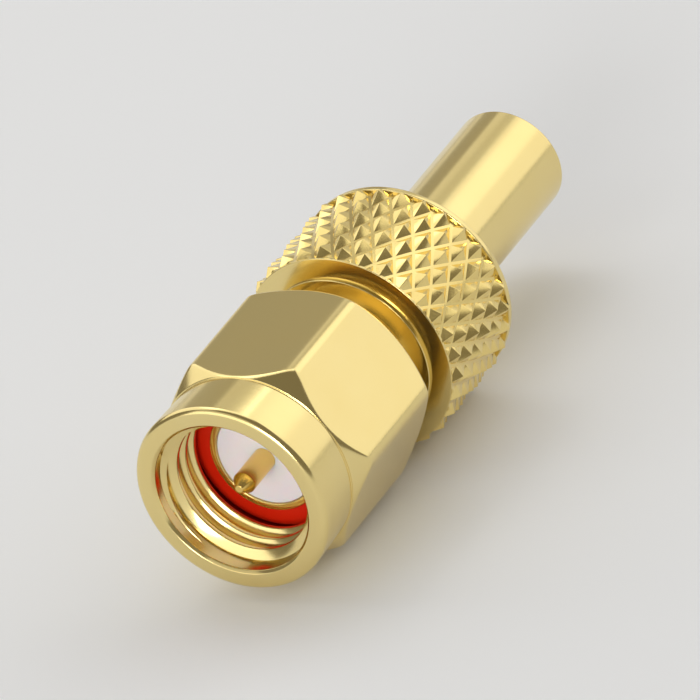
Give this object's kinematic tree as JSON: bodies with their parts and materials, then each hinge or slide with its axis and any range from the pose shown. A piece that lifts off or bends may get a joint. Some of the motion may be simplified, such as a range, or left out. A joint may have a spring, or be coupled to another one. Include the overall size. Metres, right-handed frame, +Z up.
{
  "type": "coaxial adapter",
  "caption": "Straight coaxial connector with a captive hex coupling nut, a knurled grip ring and a plain push-on jack tube at the rear.",
  "frame": {"origin": "under the middle of the part, on the surface that it lies on", "axes": "+Y along the connector's axis from the plug's mouth to the jack tube, +Z up, the plug's mouth faces -Y"},
  "size_m": [0.0092, 0.0244, 0.0091],
  "materials": {
    "gold_nut": "satin gold plating",
    "gold_body": "satin gold plating",
    "gold_contact": "bright gold plating",
    "spring": "spring bronze",
    "dielectric": "matte white",
    "gasket": "matte red"
  },
  "bodies": {
    "adapter_body": {"front_body": "gold_body", "knurled_body": "gold_body", "front_insulator": "dielectric", "rear_insulator": "dielectric", "centre_contact": "gold_contact", "sealing_gasket": "gasket"},
    "snap_ring": {"retaining_ring": "spring"},
    "nut": {"coupling_nut": "gold_nut"}
  },
  "joints": [
    {"name": "nut_float", "type": "slide", "parent": "adapter_body", "child": "snap_ring", "axis": [0, 1, 0], "range_m": [-0.0001, 0.0001]},
    {"name": "nut_spin", "type": "hinge", "parent": "snap_ring", "child": "nut", "pos_m": [0, 0, 0.00456], "axis": [0, -1, 0], "continuous": true}
  ]
}
